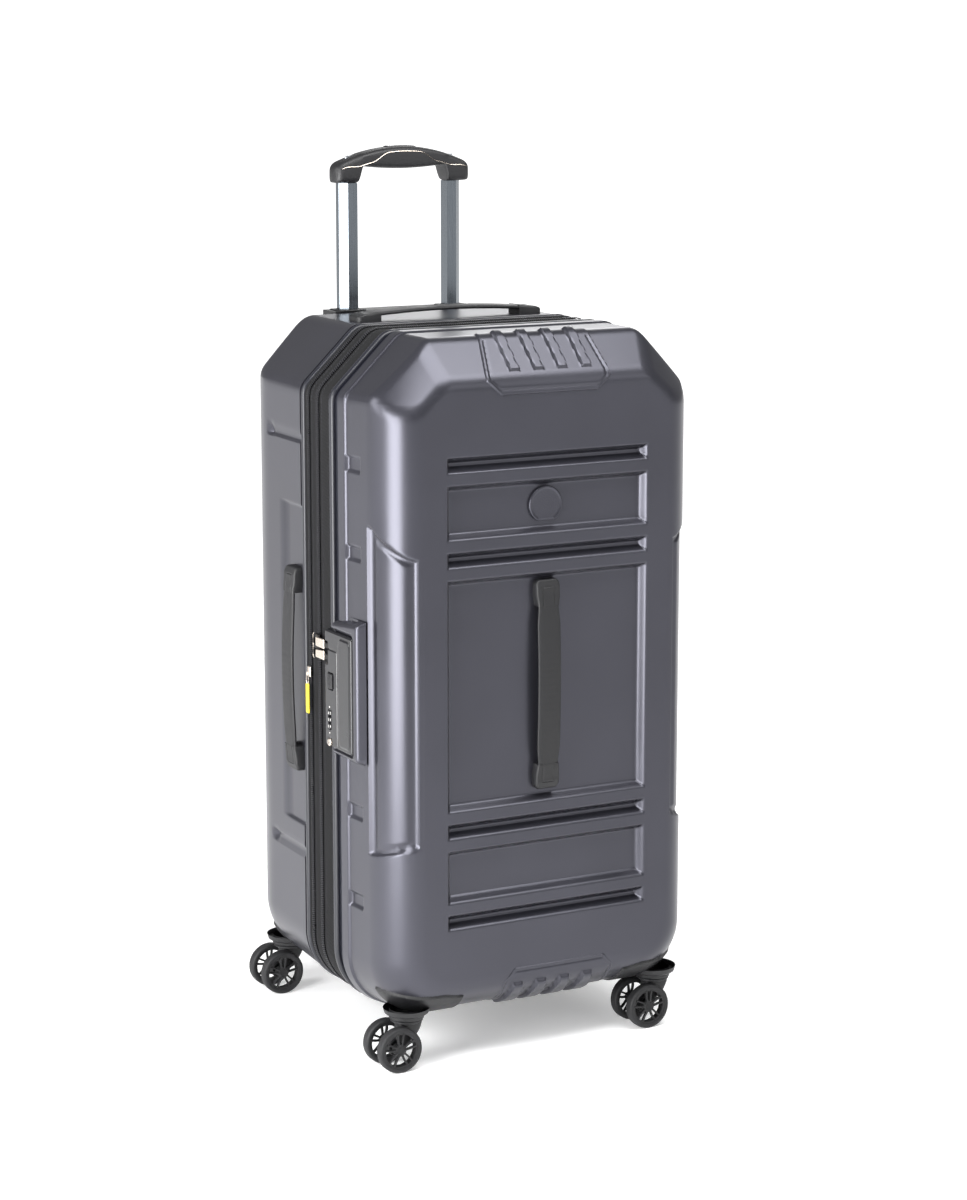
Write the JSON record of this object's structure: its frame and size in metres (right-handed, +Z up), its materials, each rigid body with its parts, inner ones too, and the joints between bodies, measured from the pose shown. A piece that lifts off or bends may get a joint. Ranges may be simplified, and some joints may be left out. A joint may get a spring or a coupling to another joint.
{
  "type": "expandable hard travel trunk",
  "caption": "Upright hard-shell travel trunk: cut top corners, ribbed front, hinged zip lid, expansion band, telescopic handle, carry handles, side lock, swivel casters.",
  "frame": {"origin": "bottom centre of the box round the whole case, on the floor under it", "axes": "+X to the case's right seen from the front, +Y from the lid to the back shell, +Z up"},
  "size_m": [0.4094, 0.3846, 0.988],
  "materials": {
    "shell": "satin metallic polycarbonate",
    "black_plastic": "moulded, fine texture",
    "trim": "extruded piping",
    "zip_tape": "woven tape with a coil",
    "lining": "woven polyester",
    "strap": "webbing",
    "tube": "bright anodised",
    "steel": "plated",
    "pull_metal": "pale plated zinc",
    "tag": "yellow printed tag",
    "tyre": "matt polyurethane"
  },
  "bodies": {
    "case_back": {"back_shell": "shell", "back_rim_trim": "trim", "back_zip_half": "zip_tape", "back_lining": "lining", "gusset": "lining", "trolley_rails": "tube", "trolley_base": "black_plastic", "trolley_bezel": "black_plastic", "top_handle_ends": "black_plastic", "side_handle_ends": "black_plastic", "packing_straps": "strap", "strap_buckle": "black_plastic", "rear_caster_housings": "black_plastic", "rear_caster_screws": "steel"},
    "zip_band": {"band_zip": "zip_tape", "band_frame": "tube", "hinge_tape": "lining", "main_sliders": "pull_metal"},
    "lid": {"front_shell": "shell", "front_rim_trim": "trim", "front_zip_half": "zip_tape", "lid_lining": "lining", "lid_pocket": "lining", "top_guard": "shell", "bottom_guard": "shell", "badge": "shell", "front_handle_ends": "black_plastic", "lock_frame": "shell", "lock_body": "black_plastic", "front_caster_housings": "black_plastic", "front_caster_screws": "steel"},
    "front_handle": {"front_handle_grip": "black_plastic"},
    "side_handle": {"side_handle_grip": "black_plastic"},
    "top_handle": {"top_handle_grip": "black_plastic"},
    "trolley_lower": {"trolley_stage_1": "tube"},
    "trolley_upper": {"trolley_stage_2": "tube", "trolley_grip": "black_plastic"},
    "trolley_push": {"trolley_button": "black_plastic", "release_rods": "steel"},
    "lock_dial_1": {"lock_dial_1": "black_plastic"},
    "lock_dial_2": {"lock_dial_2": "black_plastic"},
    "lock_dial_3": {"lock_dial_3": "black_plastic"},
    "lock_key": {"lock_key": "pull_metal"},
    "lock_release": {"lock_button": "black_plastic"},
    "zip_pull_upper": {"zip_pull_upper": "pull_metal"},
    "zip_pull_lower": {"zip_pull_lower": "pull_metal"},
    "expansion_runner": {"expansion_slider": "pull_metal"},
    "expansion_tag": {"expansion_pull": "tag"},
    "caster_fl": {"caster_fork_fl": "black_plastic"},
    "wheel_fl_a": {"wheel_fl_a": "tyre"},
    "wheel_fl_b": {"wheel_fl_b": "tyre"},
    "caster_fr": {"caster_fork_fr": "black_plastic"},
    "wheel_fr_a": {"wheel_fr_a": "tyre"},
    "wheel_fr_b": {"wheel_fr_b": "tyre"},
    "caster_rl": {"caster_fork_rl": "black_plastic"},
    "wheel_rl_a": {"wheel_rl_a": "tyre"},
    "wheel_rl_b": {"wheel_rl_b": "tyre"},
    "caster_rr": {"caster_fork_rr": "black_plastic"},
    "wheel_rr_a": {"wheel_rr_a": "tyre"},
    "wheel_rr_b": {"wheel_rr_b": "tyre"}
  },
  "joints": [
    {"name": "expansion", "type": "slide", "parent": "case_back", "child": "zip_band", "axis": [0, -1, 0], "range_m": [0, 0.04], "deforming": ["gusset"]},
    {"name": "lid_hinge", "type": "hinge", "parent": "zip_band", "child": "lid", "pos_m": [0.20667, -0.02431, 0.4], "axis": [0, 0, 1], "range_deg": [0, 180], "deforming": ["hinge_tape"]},
    {"name": "front_handle_lift", "type": "slide", "parent": "lid", "child": "front_handle", "axis": [0, -1, 0], "range_m": [0, 0.014], "stiffness_N_per_m": 500},
    {"name": "side_handle_lift", "type": "slide", "parent": "case_back", "child": "side_handle", "axis": [-1, 0, 0], "range_m": [0, 0.014], "stiffness_N_per_m": 500},
    {"name": "top_handle_lift", "type": "slide", "parent": "case_back", "child": "top_handle", "axis": [0, 0, 1], "range_m": [0, 0.014], "stiffness_N_per_m": 500},
    {"name": "trolley_lower_slide", "type": "slide", "parent": "case_back", "child": "trolley_lower", "axis": [0, 0, 1], "range_m": [0, 0.12]},
    {"name": "trolley_upper_slide", "type": "slide", "parent": "trolley_lower", "child": "trolley_upper", "axis": [0, 0, 1], "range_m": [-0.144, 0]},
    {"name": "trolley_button_press", "type": "slide", "parent": "trolley_upper", "child": "trolley_push", "axis": [0, 0, -1], "range_m": [0, 0.003], "stiffness_N_per_m": 900, "springref_m": -0.004},
    {"name": "lock_dial_1_turn", "type": "hinge", "parent": "lid", "child": "lock_dial_1", "pos_m": [-0.19873, -0.06631, 0.37], "axis": [0, 0, 1], "continuous": true},
    {"name": "lock_dial_2_turn", "type": "hinge", "parent": "lid", "child": "lock_dial_2", "pos_m": [-0.19873, -0.06631, 0.3775], "axis": [0, 0, 1], "continuous": true},
    {"name": "lock_dial_3_turn", "type": "hinge", "parent": "lid", "child": "lock_dial_3", "pos_m": [-0.19873, -0.06631, 0.385], "axis": [0, 0, 1], "continuous": true},
    {"name": "lock_key_turn", "type": "hinge", "parent": "lid", "child": "lock_key", "pos_m": [-0.20183, -0.06631, 0.352], "axis": [1, 0, 0], "range_deg": [0, 90]},
    {"name": "lock_button_press", "type": "slide", "parent": "lid", "child": "lock_release", "axis": [1, 0, 0], "range_m": [0, 0.002], "stiffness_N_per_m": 500},
    {"name": "zip_pull_upper_swing", "type": "hinge", "parent": "zip_band", "child": "zip_pull_upper", "pos_m": [-0.19758, -0.02352, 0.4575], "axis": [0, 0, 1], "range_deg": [-100, 0]},
    {"name": "zip_pull_lower_swing", "type": "hinge", "parent": "zip_band", "child": "zip_pull_lower", "pos_m": [-0.19758, -0.02352, 0.445], "axis": [0, 0, 1], "range_deg": [-100, 0]},
    {"name": "expansion_slider_run", "type": "slide", "parent": "case_back", "child": "expansion_runner", "axis": [0, 0, 1], "range_m": [-0.24, 0.28]},
    {"name": "expansion_tag_swing", "type": "hinge", "parent": "expansion_runner", "child": "expansion_tag", "pos_m": [-0.19658, -0.00032, 0.418], "axis": [0, 1, 0], "range_deg": [0, 150]},
    {"name": "caster_fl_swivel", "type": "hinge", "parent": "lid", "child": "caster_fl", "pos_m": [-0.15233, -0.15282, 0.055], "axis": [0, 0, 1], "continuous": true},
    {"name": "wheel_fl_a_roll", "type": "hinge", "parent": "caster_fl", "child": "wheel_fl_a", "pos_m": [-0.16973, -0.17011, 0.0255], "axis": [0, 1, 0], "continuous": true},
    {"name": "wheel_fl_b_roll", "type": "hinge", "parent": "caster_fl", "child": "wheel_fl_b", "pos_m": [-0.16973, -0.13551, 0.0255], "axis": [0, 1, 0], "continuous": true},
    {"name": "caster_fr_swivel", "type": "hinge", "parent": "lid", "child": "caster_fr", "pos_m": [0.16367, -0.15282, 0.055], "axis": [0, 0, 1], "continuous": true},
    {"name": "wheel_fr_a_roll", "type": "hinge", "parent": "caster_fr", "child": "wheel_fr_a", "pos_m": [0.14627, -0.17011, 0.0255], "axis": [0, 1, 0], "continuous": true},
    {"name": "wheel_fr_b_roll", "type": "hinge", "parent": "caster_fr", "child": "wheel_fr_b", "pos_m": [0.14627, -0.13551, 0.0255], "axis": [0, 1, 0], "continuous": true},
    {"name": "caster_rl_swivel", "type": "hinge", "parent": "case_back", "child": "caster_rl", "pos_m": [-0.15233, 0.15618, 0.055], "axis": [0, 0, 1], "continuous": true},
    {"name": "wheel_rl_a_roll", "type": "hinge", "parent": "caster_rl", "child": "wheel_rl_a", "pos_m": [-0.16973, 0.13889, 0.0255], "axis": [0, 1, 0], "continuous": true},
    {"name": "wheel_rl_b_roll", "type": "hinge", "parent": "caster_rl", "child": "wheel_rl_b", "pos_m": [-0.16973, 0.17349, 0.0255], "axis": [0, 1, 0], "continuous": true},
    {"name": "caster_rr_swivel", "type": "hinge", "parent": "case_back", "child": "caster_rr", "pos_m": [0.16367, 0.15618, 0.055], "axis": [0, 0, 1], "continuous": true},
    {"name": "wheel_rr_a_roll", "type": "hinge", "parent": "caster_rr", "child": "wheel_rr_a", "pos_m": [0.14627, 0.13889, 0.0255], "axis": [0, 1, 0], "continuous": true},
    {"name": "wheel_rr_b_roll", "type": "hinge", "parent": "caster_rr", "child": "wheel_rr_b", "pos_m": [0.14627, 0.17349, 0.0255], "axis": [0, 1, 0], "continuous": true}
  ]
}
